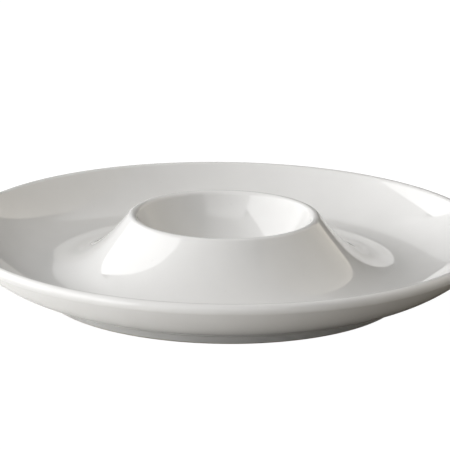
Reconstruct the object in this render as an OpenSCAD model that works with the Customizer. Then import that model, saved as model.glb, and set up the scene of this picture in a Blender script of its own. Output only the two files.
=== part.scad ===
// Egg saucer: a round glazed porcelain saucer with one raised egg cup in its middle.
// Every section is a turned ring about the Z axis, so each module revolves one closed outline.
// Outline points are [radius, height]. The table is at z = 0 and the foot stands on it.

/* [Saucer] */
// Diameter over the saucer's lip
saucer_d = 140; // [130:1:160]
// Height of the lip's crest above the table
rim_h = 16.8; // [15:0.1:19]
// Thickness of the rounded lip
lip_t = 3; // [2.4:0.1:4]
// Height of the trough's lowest circle above the table
floor_h = 5.9; // [5.6:0.1:6.3]
// Thickness of the floor at that circle
floor_t = 3.5; // [3:0.1:3.8]
// Diameter of the trough's lowest circle, where the cone's flank meets the wall's curve
trough_d = 93; // [91:0.5:94]
// Slope of the wall's underside just below the lip, in degrees
under_slope = 45; // [40:1:50]
// Slope of the wall's upper face just inside the lip, in degrees
inner_slope = 48; // [43:1:50]

/* [Foot] */
// Diameter of the foot ring's standing edge
foot_d = 95; // [93:0.5:96]
// Diameter of the crease where the foot ring meets the wall
crease_d = 97; // [96.5:0.5:99]
// Height of that crease above the table
crease_h = 2.1; // [1.8:0.1:2.6]
// Slope of the wall's underside where it meets the foot ring, in degrees
crease_slope = 17; // [12:1:20]
// Width of the foot ring at the table
foot_w = 3.2; // [2.6:0.1:3.6]
// Slant of the foot ring's inner side, in mm inwards for each mm of height
foot_slant = 0.33; // [0.2:0.01:0.4]
// Height of the bare band that carries no glaze
bare_h = 0.5; // [0.3:0.1:0.8]

/* [Egg cup] */
// Height of the cup's lip above the table
cup_h = 20.5; // [20:0.1:23]
// Clear diameter of the cup's mouth, for a hen's egg
mouth_d = 44.9; // [43:0.1:47]
// Thickness of the cup's rounded lip
cup_lip_t = 2.9; // [2.4:0.1:3.4]
// Depth of the egg well below the cup's lip
well_depth = 16.8; // [15:0.1:17]
// Slope of the cone's flank just below the cup's lip, in degrees
cone_slope = 52.5; // [50:0.5:55]
// Thickness of the egg bowl's wall
bowl_t = 2.8; // [2.4:0.1:3]

/* [Hollow under the cup] */
// Height of the centre of the hollow's rounded crown
crown_h = 12; // [11.4:0.1:12.4]
// Radius of the hollow's rounded crown
crown_r = 2; // [1.6:0.1:2.2]

/* [Smoothness] */
// Straight steps along each curved stretch of an outline
steps = 16; // [8:1:32]

/* [Hidden] */
$fn = 180;
glaze = [0.95, 0.95, 0.93];
bare = [0.90, 0.88, 0.83];

// Handle lengths of the curves: how far each keeps its end direction
under_pull = [10.4, 9.3];
inner_pull = [8, 9];
flank_pull = [12.3, 8.2];
hollow_pull = [5, 3];
// Places along their curves, from 0 to 1, at which one section hands over to the next
flank_cut = 0.2;
floor_cut = 0.7;
wall_cut = 0.9;

lip_r = lip_t / 2;
lip_c = [saucer_d / 2 - lip_r, rim_h - lip_r];
under_h = floor_h - floor_t;
crease = [crease_d / 2, crease_h];
trough = [trough_d / 2, floor_h];
cup_lip_r = cup_lip_t / 2;
cup_lip_c = [mouth_d / 2 + cup_lip_r, cup_h - cup_lip_r];

// The egg well is part of a sphere that touches the cup's lip and the bottom of the well
well_bottom = cup_h - well_depth;
lip_over_bottom = cup_lip_c[1] - well_bottom;
well_r = (pow(cup_lip_c[0], 2) + pow(lip_over_bottom, 2) - pow(cup_lip_r, 2))
    / (2 * (cup_lip_r + lip_over_bottom));
well_c = [0, well_bottom + well_r];
bowl_r = well_r + bowl_t;

// The crown of the hollow rests against the outside of the bowl
crown_drop = well_c[1] - crown_h;
crown_c = [sqrt(pow(bowl_r + crown_r, 2) - pow(crown_drop, 2)), crown_h];
crown_bowl_angle = atan2(crown_drop, crown_c[0]);

function polar(r, a) = r * [cos(a), sin(a)];

function arc(c, r, from, to) =
    [for (i = [0 : steps]) c + polar(r, from + (to - from) * i / steps)];

function curve_at(c, t) =
    pow(1 - t, 3) * c[0] + 3 * t * pow(1 - t, 2) * c[1] + 3 * t * t * (1 - t) * c[2] + pow(t, 3) * c[3];

function curve(c, from, to) =
    [for (i = [0 : steps]) curve_at(c, from + (to - from) * i / steps)];

// A curve from one point to another that leaves and arrives along the given directions
function bend(start, start_angle, end, end_angle, pull) =
    [start, start + polar(pull[0], start_angle), end - polar(pull[1], end_angle), end];

lip_under = lip_c + polar(lip_r, under_slope - 90);
lip_inner = lip_c + polar(lip_r, inner_slope + 90);
under_curve = bend(lip_under, under_slope + 180, crease, crease_slope + 180, under_pull);
inner_curve = bend(lip_inner, inner_slope + 180, trough, 180, inner_pull);

cup_lip_outer = cup_lip_c + polar(cup_lip_r, 90 - cone_slope);
flank_curve = bend(cup_lip_outer, -cone_slope, trough, 0, flank_pull);
flank_end = curve_at(flank_curve, flank_cut);
cone_r = curve_at(flank_curve, floor_cut)[0];
crown_outer = crown_c + polar(crown_r, 90 - cone_slope);
hollow_curve = bend(crown_outer, -cone_slope, [cone_r, under_h], 0, hollow_pull);

// Angles on the well's sphere, counted from straight down
lip_angle = atan2(cup_lip_c[0], well_c[1] - cup_lip_c[1]);
cut_angle = acos((well_c[1] - flank_end[1]) / well_r);
seam_top = [crown_c[0], flank_end[1]];

// Radii of the foot ring's two sides at a height above the table
function foot_out(h) = foot_d / 2 + (crease_d - foot_d) / 2 * h / crease_h;
function foot_in(h) = foot_d / 2 - foot_w - foot_slant * h;

module turned(outline) {
    rotate_extrude() polygon(outline);
}

// The half-round lip around the saucer
module saucer_lip() {
    color(glaze) turned(arc(lip_c, lip_r, under_slope - 90, inner_slope + 90));
}

// The flared wall between the foot and the lip
module saucer_wall() {
    color(glaze) turned(concat(
        curve(under_curve, 0, 1),
        curve(inner_curve, wall_cut, 0)
    ));
}

// The curved floor of the trough, over the foot ring
module saucer_floor() {
    color(glaze) turned(concat(
        curve(inner_curve, wall_cut, 1),
        curve(flank_curve, 1, floor_cut),
        [
            [cone_r, under_h],
            [foot_in(under_h), under_h],
            crease
        ]
    ));
}

// The ring that the saucer stands on, glazed on its sides
module foot_ring() {
    color(glaze) turned([
        crease,
        [foot_in(under_h), under_h],
        [foot_in(bare_h), bare_h],
        [foot_out(bare_h), bare_h]
    ]);
}

// The standing edge of the foot ring, bare because glaze would stick to the kiln shelf
module foot_edge() {
    color(bare) turned(concat(
        arc([foot_in(bare_h) + bare_h, bare_h], bare_h, 180, 270),
        arc([foot_out(bare_h) - bare_h, bare_h], bare_h, 270, 360)
    ));
}

// The hollow cone that carries the cup
module cup_cone() {
    color(glaze) turned(concat(
        curve(flank_curve, flank_cut, floor_cut),
        curve(hollow_curve, 1, 0),
        arc(crown_c, crown_r, 90 - cone_slope, 90),
        [seam_top]
    ));
}

// The solid ring and rounded lip where the cone and the bowl join
module cup_rim() {
    color(glaze) turned(concat(
        curve(flank_curve, 0, flank_cut),
        arc(well_c, well_r, cut_angle - 90, lip_angle - 90),
        arc(cup_lip_c, cup_lip_r, lip_angle + 90, 90 - cone_slope)
    ));
}

// The round-bottomed bowl that holds the egg
module egg_bowl() {
    color(glaze) turned(concat(
        arc(well_c, well_r, -90, cut_angle - 90),
        [seam_top],
        arc(crown_c, crown_r, 90, 180 - crown_bowl_angle),
        arc(well_c, bowl_r, -crown_bowl_angle, -90)
    ));
}

saucer_lip();
saucer_wall();
saucer_floor();
foot_ring();
foot_edge();
cup_cone();
cup_rim();
egg_bowl();
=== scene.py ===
"""Egg saucer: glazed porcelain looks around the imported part, on a white studio table.

Every CAD section gets one turned visual piece with the same outline, finer steps and exact
surface directions, so that the glaze reflects without a break from one section to the next.
Only the crease over the foot and the bare edge under it are drawn a little more finely than
in the CAD. Lengths are in metres and angles in degrees. The table is at z = 0 and the axis is Z.
"""

import math

import bpy
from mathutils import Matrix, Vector


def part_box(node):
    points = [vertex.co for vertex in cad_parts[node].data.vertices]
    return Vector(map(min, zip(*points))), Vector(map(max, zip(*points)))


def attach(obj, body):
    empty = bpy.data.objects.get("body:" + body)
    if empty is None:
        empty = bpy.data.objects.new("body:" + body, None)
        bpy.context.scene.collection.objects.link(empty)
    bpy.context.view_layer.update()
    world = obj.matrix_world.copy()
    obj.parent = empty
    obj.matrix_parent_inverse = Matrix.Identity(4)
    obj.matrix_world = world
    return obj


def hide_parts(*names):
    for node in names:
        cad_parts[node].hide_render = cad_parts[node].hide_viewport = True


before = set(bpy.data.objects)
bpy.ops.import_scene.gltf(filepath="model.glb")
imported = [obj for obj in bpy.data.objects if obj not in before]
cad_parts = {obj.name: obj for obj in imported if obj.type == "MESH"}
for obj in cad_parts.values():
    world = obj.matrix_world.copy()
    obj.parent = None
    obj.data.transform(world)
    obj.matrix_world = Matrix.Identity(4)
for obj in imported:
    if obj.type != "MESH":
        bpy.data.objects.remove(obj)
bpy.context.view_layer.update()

MM = 0.001

# ---------------------------------------------------------------- sizes, read from the frame

SAUCER_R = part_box("saucer_lip")[1].x
RIM_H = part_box("saucer_lip")[1].z
CREASE_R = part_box("foot_ring")[1].x
CREASE_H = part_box("foot_ring")[1].z
BARE_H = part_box("foot_edge")[1].z
BARE_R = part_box("foot_edge")[1].x
CONE_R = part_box("cup_cone")[1].x
UNDER_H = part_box("cup_cone")[0].z
CUP_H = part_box("cup_rim")[1].z
BOWL_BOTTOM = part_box("egg_bowl")[0].z

# ---------------------------------------------------------------- sizes the frame's boxes don't give
#
# They repeat the values of part.scad: T is a thickness, R a radius, H a height above the table.

LIP_T = 3 * MM
FLOOR_T = 3.5 * MM
TROUGH_R = 46.5 * MM
FOOT_W = 3.2 * MM
FOOT_SLANT = 0.33
MOUTH_R = 22.45 * MM
CUP_LIP_T = 2.9 * MM
BOWL_T = 2.8 * MM
CROWN_H = 12 * MM
CROWN_R = 2 * MM
UNDER_SLOPE = 45
INNER_SLOPE = 48
CREASE_SLOPE = 17
CONE_SLOPE = 52.5

# Handle lengths of the curves: how far each keeps its end direction
UNDER_PULL = (10.4 * MM, 9.3 * MM)
INNER_PULL = (8 * MM, 9 * MM)
FLANK_PULL = (12.3 * MM, 8.2 * MM)
HOLLOW_PULL = (5 * MM, 3 * MM)

# Places along their curves, from 0 to 1, at which one section hands over to the next
FLANK_CUT = 0.2
FLOOR_CUT = 0.7
WALL_CUT = 0.9

# The glaze fills the crease over the foot, along these shares of the wall's underside and of the
# foot's side, and stands proud of the bare edge by this step
FILLET_WALL = 0.03
FILLET_FOOT = 0.3
GLAZE_STEP = 0.12 * MM

# Mesh fineness: length of a step along an outline, and steps around the axis
STEP = 0.55 * MM
AROUND = 288

# Steps for measuring a path's length, the share of a path used to find its direction, and the
# distance in metres below which two points count as one
LENGTH_STEPS = 24
NUDGE = 1e-4
TOUCHING = 1e-7


# ---------------------------------------------------------------- outlines, paths of (radius, height)


def polar(length, angle):
    a = math.radians(angle)
    return Vector((length * math.cos(a), length * math.sin(a)))


def arc(centre, radius, start, end):
    return lambda t: centre + polar(radius, start + (end - start) * t)


def line(start, end):
    return lambda t: start + (end - start) * t


def curve(c):
    """A cubic Bezier curve with the four control points c."""
    return lambda t: (
        (1 - t) ** 3 * c[0] + 3 * t * (1 - t) ** 2 * c[1] + 3 * t * t * (1 - t) * c[2] + t**3 * c[3]
    )


def stretch(path, start, end):
    """The stretch of a path between two places on it; start past end turns it round."""
    return lambda t: path(start + (end - start) * t)


def bend(start, start_angle, end, end_angle, pull):
    """A curve that leaves and arrives along the given directions."""
    return curve([start, start + polar(pull[0], start_angle), end - polar(pull[1], end_angle), end])


def rounded(start, corner, end):
    """A quadratic curve that cuts off a corner, written as a cubic one."""
    return curve([start, start.lerp(corner, 2 / 3), end.lerp(corner, 2 / 3), end])


lip_r = LIP_T / 2
lip_c = Vector((SAUCER_R - lip_r, RIM_H - lip_r))
trough = Vector((TROUGH_R, UNDER_H + FLOOR_T))
crease = Vector((CREASE_R, CREASE_H))
cup_lip_r = CUP_LIP_T / 2
cup_lip_c = Vector((MOUTH_R + cup_lip_r, CUP_H - cup_lip_r))

# The egg well is part of a sphere that touches the cup's lip and the bottom of the well
well_bottom = BOWL_BOTTOM + BOWL_T
lip_over_bottom = cup_lip_c.y - well_bottom
well_r = (cup_lip_c.x**2 + lip_over_bottom**2 - cup_lip_r**2) / (2 * (cup_lip_r + lip_over_bottom))
well_c = Vector((0, well_bottom + well_r))
bowl_r = well_r + BOWL_T

# The crown of the hollow under the cup rests against the outside of the bowl
crown_drop = well_c.y - CROWN_H
crown_c = Vector((math.sqrt((bowl_r + CROWN_R) ** 2 - crown_drop**2), CROWN_H))
crown_bowl_angle = math.degrees(math.atan2(crown_drop, crown_c.x))

# The wall's underside and upper face, the cone's flank and the hollow under the cone
lip_under = lip_c + polar(lip_r, UNDER_SLOPE - 90)
lip_inner = lip_c + polar(lip_r, INNER_SLOPE + 90)
cup_lip_outer = cup_lip_c + polar(cup_lip_r, 90 - CONE_SLOPE)
crown_outer = crown_c + polar(CROWN_R, 90 - CONE_SLOPE)
hollow_edge = Vector((CONE_R, UNDER_H))
under = bend(lip_under, UNDER_SLOPE + 180, crease, CREASE_SLOPE + 180, UNDER_PULL)
inner = bend(lip_inner, INNER_SLOPE + 180, trough, 180, INNER_PULL)
flank = bend(cup_lip_outer, -CONE_SLOPE, trough, 0, FLANK_PULL)
hollow = bend(crown_outer, -CONE_SLOPE, hollow_edge, 0, HOLLOW_PULL)

# Angles on the well's sphere, counted from straight down
lip_angle = math.degrees(math.atan2(cup_lip_c.x, well_c.y - cup_lip_c.y))
cut_angle = math.degrees(math.acos((well_c.y - flank(FLANK_CUT).y) / well_r))
seam_top = Vector((crown_c.x, flank(FLANK_CUT).y))

# The foot ring's two sides, by height above the table
foot_lean = (CREASE_R - BARE_R) / (CREASE_H - BARE_H)


def foot_out(h):
    return Vector((CREASE_R - foot_lean * (CREASE_H - h), h))


def foot_in(h):
    return Vector((foot_out(0).x - FOOT_W - FOOT_SLANT * h, h))


fillet_top = under(1 - FILLET_WALL)
fillet_foot = foot_out(CREASE_H - FILLET_FOOT * (CREASE_H - BARE_H))


# ---------------------------------------------------------------- turning an outline into a mesh


def sampled(path):
    """Points along a path with its direction at each, close enough together to look smooth."""
    rough = [path(i / LENGTH_STEPS) for i in range(LENGTH_STEPS + 1)]
    length = sum((b - a).length for a, b in zip(rough, rough[1:]))
    count = max(1, round(length / STEP))
    points = []
    for i in range(count + 1):
        t = i / count
        direction = (path(t + NUDGE) - path(t - NUDGE)).normalized()
        points.append((path(t), direction))
    return points


def joined(paths):
    """The points of a closed outline, and for each of its paths the number of its first point and
    the outward directions along it."""
    rings = []
    strips = []
    for path in paths:
        points = sampled(path)
        if not rings:
            rings.append(points[0][0])
        start = len(rings) - 1
        rings += [p for p, _ in points[1:]]
        strips.append((start, [Vector((d.y, -d.x)) for _, d in points]))
    if (rings[-1] - rings[0]).length < TOUCHING:
        rings.pop()
    return rings, strips


def around(v, k):
    """A point or direction (radius, height), turned k steps around the axis."""
    a = math.tau * k / AROUND
    return (v.x * math.cos(a), v.x * math.sin(a), v.y)


def turned_vertices(rings):
    """All vertices, and the number of each ring's first one. A ring on the axis is one vertex."""
    vertices = []
    first = []
    for p in rings:
        first.append(len(vertices))
        if p.x < TOUCHING:
            vertices.append((0, 0, p.y))
        else:
            vertices += [around(p, k) for k in range(AROUND)]
    return vertices, first


def turned_faces(rings, strips, first):
    """All faces between neighbouring rings, and the surface direction at each of their corners."""

    def vertex(ring, k):
        ring %= len(rings)
        on_axis = rings[ring].x < TOUCHING
        return first[ring] if on_axis else first[ring] + k % AROUND

    faces = []
    normals = []
    for start, outward in strips:
        for i in range(len(outward) - 1):
            here, there = start + i, start + i + 1
            near, far = outward[i], outward[i + 1]
            for k in range(AROUND):
                ends = [(here, k, near), (here, k + 1, near), (there, k + 1, far), (there, k, far)]
                corners = {}
                for ring, turn, direction in ends:
                    corners.setdefault(vertex(ring, turn), around(direction, turn))
                faces.append(list(corners))
                normals += corners.values()
    return faces, normals


def turned(name, paths, material, node):
    """A closed solid of revolution. The paths follow each other round the outline, anticlockwise."""
    rings, strips = joined(paths)
    vertices, first = turned_vertices(rings)
    faces, normals = turned_faces(rings, strips, first)
    mesh = bpy.data.meshes.new(name)
    mesh.from_pydata(vertices, [], faces)
    mesh.normals_split_custom_set(normals)
    mesh.materials.append(material)
    piece = bpy.data.objects.new(name, mesh)
    bpy.context.scene.collection.objects.link(piece)
    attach(piece, "root")
    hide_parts(node)


# ---------------------------------------------------------------- materials


class Nodes:
    """A short way to write a material's node tree."""

    def __init__(self, name):
        self.material = bpy.data.materials.new(name)
        self.material.use_nodes = True
        self.tree = self.material.node_tree
        self.tree.nodes.clear()
        self.shader = self.add("ShaderNodeBsdfPrincipled")
        output = self.add("ShaderNodeOutputMaterial")
        self.join(self.shader.outputs["BSDF"], output.inputs["Surface"])
        self.place = self.add("ShaderNodeTexCoord").outputs

    def add(self, kind, **settings):
        node = self.tree.nodes.new(kind)
        for key, value in settings.items():
            setattr(node, key, value)
        return node

    def join(self, source, target):
        self.tree.links.new(source, target)

    def feed(self, target, value):
        """Gives an input a number, a colour or another node's output."""
        if isinstance(value, (int, float)):
            target.default_value = value
        elif isinstance(value, tuple):
            target.default_value = (*value, 1)
        else:
            self.join(value, target)

    def set(self, name, value):
        self.feed(self.shader.inputs[name], value)

    def math(self, operation, *values):
        node = self.add("ShaderNodeMath", operation=operation)
        for target, value in zip(node.inputs, values):
            self.feed(target, value)
        return node.outputs["Value"]

    def hypotenuse(self, x, y):
        squares = self.math("ADD", self.math("MULTIPLY", x, x), self.math("MULTIPLY", y, y))
        return self.math("SQRT", squares)

    def noise(self, size, detail=2.0):
        """Soft noise whose blobs are about size metres across."""
        node = self.add("ShaderNodeTexNoise")
        self.join(self.place["Object"], node.inputs["Vector"])
        node.inputs["Scale"].default_value = 1 / size
        node.inputs["Detail"].default_value = detail
        return node.outputs["Fac"]

    def spread(self, value, low, high, new_low=0, new_high=1):
        """Goes smoothly from new_low to new_high as value goes from low to high."""
        node = self.add("ShaderNodeMapRange", interpolation_type="SMOOTHSTEP")
        self.join(value, node.inputs["Value"])
        node.inputs["From Min"].default_value = low
        node.inputs["From Max"].default_value = high
        node.inputs["To Min"].default_value = new_low
        node.inputs["To Max"].default_value = new_high
        return node.outputs["Result"]

    def mix(self, kind, sockets, share, first, second):
        """A Mix node. sockets are the numbers of its factor, its two values and its result."""
        node = self.add("ShaderNodeMix", data_type=kind)
        factor, a, b, result = sockets
        self.feed(node.inputs[factor], share)
        self.feed(node.inputs[a], first)
        self.feed(node.inputs[b], second)
        return node.outputs[result]

    def between(self, share, first, second):
        """A number between two others."""
        return self.mix("FLOAT", (0, 2, 3, 0), share, first, second)

    def blend(self, share, first, second):
        """A mixture of two colours."""
        return self.mix("RGBA", (0, 6, 7, 2), share, first, second)

    def split(self, vector):
        node = self.add("ShaderNodeSeparateXYZ")
        self.join(vector, node.inputs["Vector"])
        return node.outputs

    def near_ring(self, ring, reach):
        """1 on a circle about the axis, falling to 0 at reach metres from it.

        ring is the circle's (radius, height).
        """
        x, y, z = self.split(self.place["Object"])
        across = self.math("SUBTRACT", self.hypotenuse(x, y), ring.x)
        up = self.math("SUBTRACT", z, ring.y)
        away = self.hypotenuse(across, up)
        return self.spread(away, low=0, high=reach, new_low=1, new_high=0)

    def bump(self, height, distance, strength):
        node = self.add("ShaderNodeBump")
        node.inputs["Distance"].default_value = distance
        node.inputs["Strength"].default_value = strength
        self.join(height, node.inputs["Height"])
        self.set("Normal", node.outputs["Normal"])


def glazed_porcelain():
    """Clear glaze over white porcelain, with a painted highlight that whitens the lips and painted
    shade that darkens the crease over the foot and the trough.
    """
    # Above a real glaze's 1.5, for reflections as strong as the photo's
    refractive_index = 1.68
    dull_white = (0.695, 0.69, 0.678)
    clear_white = (0.715, 0.71, 0.698)
    # The next two tones are painted shade for the crease and the trough, and a painted highlight for
    # the lips
    crease_painted_shade = (0.665, 0.667, 0.655)
    lip_painted_highlight = (0.735, 0.73, 0.72)
    iron_speck = (0.55, 0.52, 0.48)
    painted_light_share = 0.5
    speck_share = 0.08
    crease_shade_reach = 2.2 * MM
    trough_shade_reach = 5 * MM
    lip_highlight_reach = 2.6 * MM
    smoothest = 0.025
    roughest = 0.05

    m = Nodes("glazed_porcelain")
    m.set("IOR", refractive_index)
    clouds = m.noise(size=14 * MM)
    body = m.blend(m.spread(clouds, low=0.3, high=0.7), dull_white, clear_white)
    # Painted shade: the glaze is made darker in the crease over the foot and in the trough, where
    # shade falls
    crease_shade_mask = m.near_ring(crease, crease_shade_reach)
    trough_shade_mask = m.near_ring(trough, trough_shade_reach)
    painted_shade_mask = m.math("MAXIMUM", crease_shade_mask, trough_shade_mask)
    body = m.blend(m.math("MULTIPLY", painted_shade_mask, painted_light_share), body, crease_painted_shade)
    # Painted highlight: the glaze is made whiter along the saucer's lip and the cup's lip, where they
    # catch the light
    lip_highlight_mask = m.near_ring(lip_c, lip_highlight_reach)
    cup_lip_highlight_mask = m.near_ring(cup_lip_c, lip_highlight_reach)
    painted_highlight_mask = m.math("MAXIMUM", lip_highlight_mask, cup_lip_highlight_mask)
    body = m.blend(m.math("MULTIPLY", painted_highlight_mask, painted_light_share), body, lip_painted_highlight)
    grains = m.noise(size=1.1 * MM, detail=0)
    specks = m.spread(grains, low=0.80, high=0.84, new_high=speck_share)
    m.set("Base Color", m.blend(specks, body, iron_speck))
    hazes = m.noise(size=3 * MM)
    m.set("Roughness", m.spread(hazes, 0.2, 0.8, smoothest, roughest))
    waves = m.noise(size=9 * MM, detail=1.0)
    m.bump(waves, distance=0.02 * MM, strength=0.3)
    return m.material


def bare_porcelain():
    """Fired clay with no glaze: matte, finely sandy and a little rubbed by the table."""
    dark_grain = (0.66, 0.63, 0.56)
    pale_grain = (0.76, 0.73, 0.67)
    rubbed_grey = (0.50, 0.48, 0.44)
    rubbed_share = 0.5
    smoothest = 0.7
    roughest = 0.9

    m = Nodes("bare_porcelain")
    m.set("IOR", 1.45)
    sand = m.noise(size=0.35 * MM, detail=3.0)
    body = m.blend(m.spread(sand, low=0.35, high=0.65), dark_grain, pale_grain)
    patches = m.noise(size=5 * MM)
    rubbed = m.spread(patches, low=0.5, high=0.75, new_high=rubbed_share)
    m.set("Base Color", m.blend(rubbed, body, rubbed_grey))
    m.set("Roughness", m.spread(sand, 0.3, 0.7, smoothest, roughest))
    m.bump(sand, distance=0.05 * MM, strength=0.5)
    return m.material


# ---------------------------------------------------------------- the eight sections

glaze = glazed_porcelain()
bare = bare_porcelain()

turned("lip_skin", [
    arc(lip_c, lip_r, UNDER_SLOPE - 90, INNER_SLOPE + 90),
    line(inner(0), under(0)),
], glaze, "saucer_lip")

turned("wall_skin", [
    stretch(under, 1 - FILLET_WALL, 0),
    line(under(0), inner(0)),
    stretch(inner, 0, WALL_CUT),
    line(inner(WALL_CUT), fillet_top),
], glaze, "saucer_wall")

turned("floor_skin", [
    line(foot_in(UNDER_H), fillet_top),
    line(fillet_top, inner(WALL_CUT)),
    stretch(inner, WALL_CUT, 1),
    stretch(flank, 1, FLOOR_CUT),
    line(flank(FLOOR_CUT), hollow(1)),
    line(hollow(1), foot_in(UNDER_H)),
], glaze, "saucer_floor")

turned("foot_ring_skin", [
    line(foot_in(BARE_H), foot_out(BARE_H)),
    line(foot_out(BARE_H), fillet_foot),
    rounded(fillet_foot, crease, fillet_top),
    line(fillet_top, foot_in(UNDER_H)),
    line(foot_in(UNDER_H), foot_in(BARE_H)),
], glaze, "foot_ring")

bare_in = foot_in(BARE_H) + Vector((GLAZE_STEP, 0))
bare_out = foot_out(BARE_H) - Vector((GLAZE_STEP, 0))
turned("foot_edge_skin", [
    arc(bare_in + Vector((BARE_H, 0)), BARE_H, 180, 270),
    line(bare_in + Vector((BARE_H, -BARE_H)), bare_out + Vector((-BARE_H, -BARE_H))),
    arc(bare_out - Vector((BARE_H, 0)), BARE_H, 270, 360),
    line(bare_out, bare_in),
], bare, "foot_edge")

turned("cone_skin", [
    stretch(flank, FLOOR_CUT, FLANK_CUT),
    line(flank(FLANK_CUT), seam_top),
    line(seam_top, crown_c + polar(CROWN_R, 90)),
    arc(crown_c, CROWN_R, 90, 90 - CONE_SLOPE),
    hollow,
    line(hollow(1), flank(FLOOR_CUT)),
], glaze, "cup_cone")

turned("cup_rim_skin", [
    stretch(flank, FLANK_CUT, 0),
    arc(cup_lip_c, cup_lip_r, 90 - CONE_SLOPE, lip_angle + 90),
    arc(well_c, well_r, lip_angle - 90, cut_angle - 90),
    line(well_c + polar(well_r, cut_angle - 90), flank(FLANK_CUT)),
], glaze, "cup_rim")

turned("bowl_skin", [
    arc(well_c, bowl_r, -90, -crown_bowl_angle),
    arc(crown_c, CROWN_R, 180 - crown_bowl_angle, 90),
    line(crown_c + polar(CROWN_R, 90), seam_top),
    line(seam_top, well_c + polar(well_r, cut_angle - 90)),
    arc(well_c, well_r, cut_angle - 90, -90),
    line(well_c + polar(well_r, -90), well_c + polar(bowl_r, -90)),
], glaze, "egg_bowl")


# ---------------------------------------------------------------- studio
#
# Directions are azimuths: 0 is straight away from the camera, 90 is to its right, -90 to its left.
# The camera sees a table and walls blown out to white. The porcelain sees a matte table with
# painted light on its left and painted shade on its right, its colour pale on the left and dark
# on the right, and a room that is nearly dark but for a large softbox on its left, a dimmer warm
# reflector on its right, a glowing ceiling, a fill behind the camera and two cards behind the
# saucer, to its left.

WHITE = (1, 1, 1)
WARM = (1, 0.93, 0.81)
# Painted light and shade of the table: pale where the softbox lights it, dark in the saucer's shadow
TABLE_PAINTED_LIGHT = (0.92, 0.915, 0.90)
TABLE_PAINTED_SHADE = (0.30, 0.28, 0.25)
HALL_PAINT = (0.03, 0.03, 0.03)
MATTE = 0.9
ROOM_LIGHT = 0.03

TABLE_HALF = 3.0
TABLE_DROP = 0.2 * MM
WHITE_TABLE_DROP = 0.1 * MM
HALL_HALF = 4.0
CEILING_H = 1.5

# Where the table's painted shade begins and where it is full, going from pale to dark, from left to
# right
PAINTED_SHADE_START = -0.75 * SAUCER_R
PAINTED_SHADE_FULL = 1.05 * SAUCER_R


def sheet(name, corners, material):
    """A flat sheet of the studio, from its low left, low right, high right and high left corners."""
    mesh = bpy.data.meshes.new(name)
    mesh.from_pydata([(x, y, 0) for x, y in corners], [], [(0, 1, 2, 3)])
    mesh.materials.append(material)
    item = bpy.data.objects.new(name, mesh)
    bpy.context.scene.collection.objects.link(item)
    return item


def stand(item, azimuth, distance):
    """Stands a sheet upright at a distance from the saucer, facing it."""
    a = math.radians(azimuth)
    item.location = Vector((math.sin(a), math.cos(a), 0)) * distance
    item.rotation_euler = (math.radians(90), 0, -a)


def glowing(name, tint, light):
    """Cloth lit from behind.

    light is its brightness at the low left, low right, high left and high right corners of its
    box, white paper being 1.
    """
    low_left, low_right, high_left, high_right = light
    m = Nodes(name)
    across, up, _ = m.split(m.place["Generated"])
    low = m.between(across, low_left, low_right)
    high = m.between(across, high_left, high_right)
    m.set("Base Color", (0, 0, 0))
    m.set("Roughness", 1)
    m.set("Specular IOR Level", 0)
    m.set("Emission Color", tint)
    m.set("Emission Strength", m.between(up, low, high))
    return m.material


def softbox(name, azimuth, distance, left, right, tops, light, tint=WHITE):
    """An upright glowing sheet that reaches down to the table.

    left and right are its sides as seen from the saucer; tops are the heights of its left and
    right top corners.
    """
    corners = [(left, 0), (right, 0), (right, tops[1]), (left, tops[0])]
    item = sheet(name, corners, glowing(name, tint, light))
    stand(item, azimuth, distance)
    item.visible_camera = False


softbox(
    "key_softbox",
    azimuth=-98,
    distance=0.9,
    left=-0.92,
    right=1.78,
    tops=(1.08, 1.18),
    light=(2.85, 1.25, 3.0, 2.95),
)
softbox(
    "right_reflector",
    azimuth=85,
    distance=0.9,
    left=-1.23,
    right=0.60,
    tops=(1.75, 1.95),
    light=(1.25, 0.34, 0.62, 0.42),
    tint=WARM,
)
softbox(
    "fill",
    azimuth=185,
    distance=1.2,
    left=-0.84,
    right=0.72,
    tops=(1.7, 1.7),
    light=(0, 0.9, 1.2, 1.85),
)
softbox(
    "back_card",
    azimuth=-22,
    distance=1.2,
    left=-0.32,
    right=0.30,
    tops=(1.1, 1.1),
    light=(0.8, 0.3, 1.4, 0.6),
)
softbox(
    "low_card",
    azimuth=-17,
    distance=1.1,
    left=-0.38,
    right=0.40,
    tops=(0.15, 0.15),
    light=(0.85, 1.0, 0.7, 0.75),
)

ceiling_corners = [(-1.25, -1.05), (0.7, -1.05), (0.7, 1.6), (-1.6, 1.6)]
ceiling_light = (1.35, 0.18, 1.12, 0.5)
ceiling = sheet("ceiling", ceiling_corners, glowing("ceiling", WHITE, ceiling_light))
ceiling.location.z = CEILING_H
ceiling.visible_camera = False


def square(half):
    return [(-half, -half), (half, -half), (half, half), (-half, half)]


def painted_light_table_top():
    m = Nodes("table")
    x, _, _ = m.split(m.place["Object"])
    # Painted light and shade: pale on the left, where the softbox lights the table, and dark on the
    # right, in the saucer's shadow
    m.set("Base Color", m.blend(m.spread(x, PAINTED_SHADE_START, PAINTED_SHADE_FULL), TABLE_PAINTED_LIGHT, TABLE_PAINTED_SHADE))
    m.set("Roughness", MATTE)
    return m.material


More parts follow.
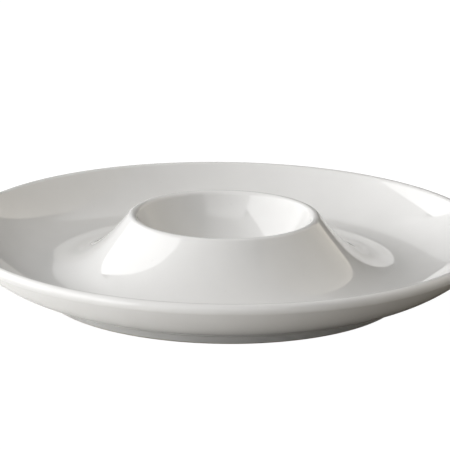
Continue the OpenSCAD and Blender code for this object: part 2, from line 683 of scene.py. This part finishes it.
def white_hall():
    """A surface that glows enough to be white in any light."""
    m = Nodes("white_hall")
    m.set("Base Color", HALL_PAINT)
    m.set("Roughness", MATTE)
    m.set("Emission Color", WHITE)
    m.set("Emission Strength", 1)
    return m.material


def only_for_camera(item):
    item.visible_diffuse = False
    item.visible_glossy = False
    item.visible_transmission = False
    item.visible_shadow = False


# The table that the porcelain sees, with painted light and shade in its colour
table = sheet("table", square(TABLE_HALF), painted_light_table_top())
table.location.z = -TABLE_DROP
table.visible_camera = False

# The white table and the four white walls around it, which only the camera sees
white = white_hall()
white_table = sheet("white_table", square(HALL_HALF), white)
white_table.location.z = -WHITE_TABLE_DROP
only_for_camera(white_table)

wall_corners = [(-HALL_HALF, 0), (HALL_HALF, 0), (HALL_HALF, HALL_HALF), (-HALL_HALF, HALL_HALF)]
for azimuth in (0, 90, 180, 270):
    wall = sheet(f"white_wall_{azimuth}", wall_corners, white)
    stand(wall, azimuth, HALL_HALF)
    only_for_camera(wall)

world = bpy.data.worlds.new("studio_room")
bpy.context.scene.world = world
world.use_nodes = True
room = world.node_tree.nodes["Background"]
room.inputs["Color"].default_value = (*WHITE, 1)
room.inputs["Strength"].default_value = ROOM_LIGHT
bpy.context.scene.view_settings.view_transform = "Standard"

# ---------------------------------------------------------------- camera

# The lens and the sensor's width are in millimetres, as Blender's camera takes them
CAMERA_ELEVATION = 16.665
CAMERA_ROLL = 0.778
CAMERA_DISTANCE = 12 * SAUCER_R
CAMERA_LENS = 256.75
SENSOR_WIDTH = 36
AIM = Vector((0.23 * MM, 0, 17.47 * MM))

camera_data = bpy.data.cameras.new("camera")
camera_data.lens = CAMERA_LENS
camera_data.sensor_width = SENSOR_WIDTH
camera = bpy.data.objects.new("camera", camera_data)
bpy.context.scene.collection.objects.link(camera)
bpy.context.scene.camera = camera
elevation = math.radians(CAMERA_ELEVATION)
camera.location = Vector((0, -math.cos(elevation), math.sin(elevation))) * CAMERA_DISTANCE
camera.rotation_euler = (AIM - camera.location).to_track_quat("-Z", "Y").to_euler()
camera.rotation_euler.rotate_axis("Z", math.radians(CAMERA_ROLL))
